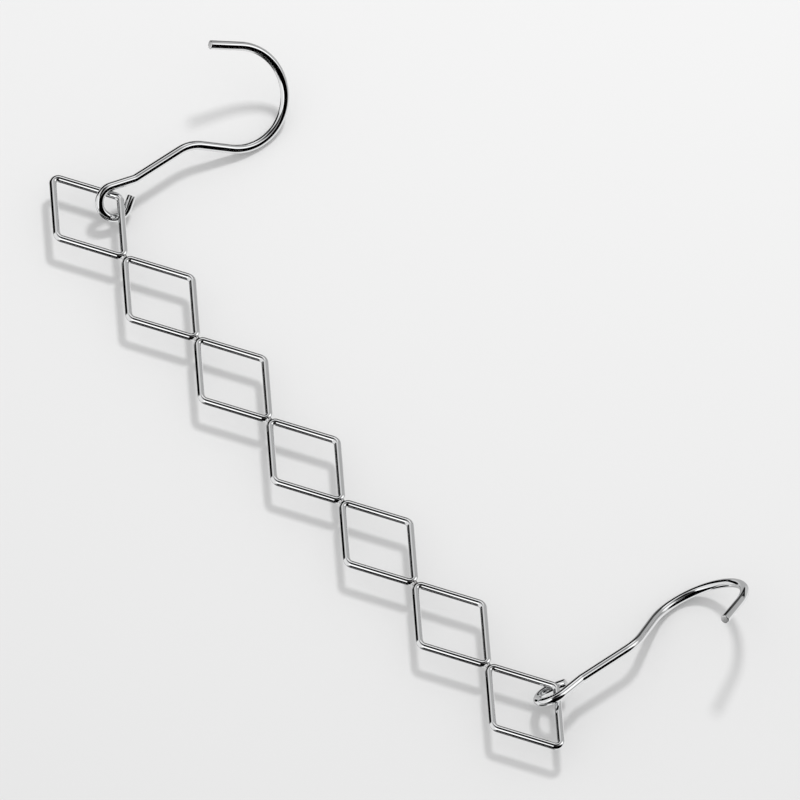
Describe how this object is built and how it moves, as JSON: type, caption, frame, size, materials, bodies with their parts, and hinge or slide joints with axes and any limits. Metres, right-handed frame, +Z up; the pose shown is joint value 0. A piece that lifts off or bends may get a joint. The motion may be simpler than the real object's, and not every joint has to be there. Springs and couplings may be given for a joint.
{
  "type": "multi-hole clothes hanger",
  "caption": "Straight strip of welded wire diamonds that hold clothes hangers, carried by wire hooks whose open eyes turn on the side corners of the end diamonds.",
  "frame": {"origin": "on the surface that the hooks lie on, under the middle of the whole outline", "axes": "+X along the strip of diamonds, from the first hook to the second; +Y across the strip, towards the hooks; +Z up, square to the level strip"},
  "size_m": [0.3442, 0.119, 0.0344],
  "materials": {
    "ring_wire": "bright plated steel wire, polished",
    "hook_wire": "bright plated steel wire, polished"
  },
  "bodies": {
    "strip": {"diamond_ring_1": "ring_wire", "diamond_ring_2": "ring_wire", "diamond_ring_3": "ring_wire", "diamond_ring_4": "ring_wire", "diamond_ring_5": "ring_wire", "diamond_ring_6": "ring_wire", "diamond_ring_7": "ring_wire"},
    "hook_1": {"hook_1": "hook_wire"},
    "hook_2": {"hook_2": "hook_wire"}
  },
  "joints": [
    {"name": "hook_1_swing", "type": "hinge", "parent": "strip", "child": "hook_1", "pos_m": [-0.14556, -0.03021, 0.00976], "axis": [0.677, 0, 0.736], "range_deg": [0, 160]},
    {"name": "hook_2_swing", "type": "hinge", "parent": "strip", "child": "hook_2", "pos_m": [0.14556, -0.03026, 0.00976], "axis": [0.677, 0, -0.736], "range_deg": [0, 160]}
  ]
}
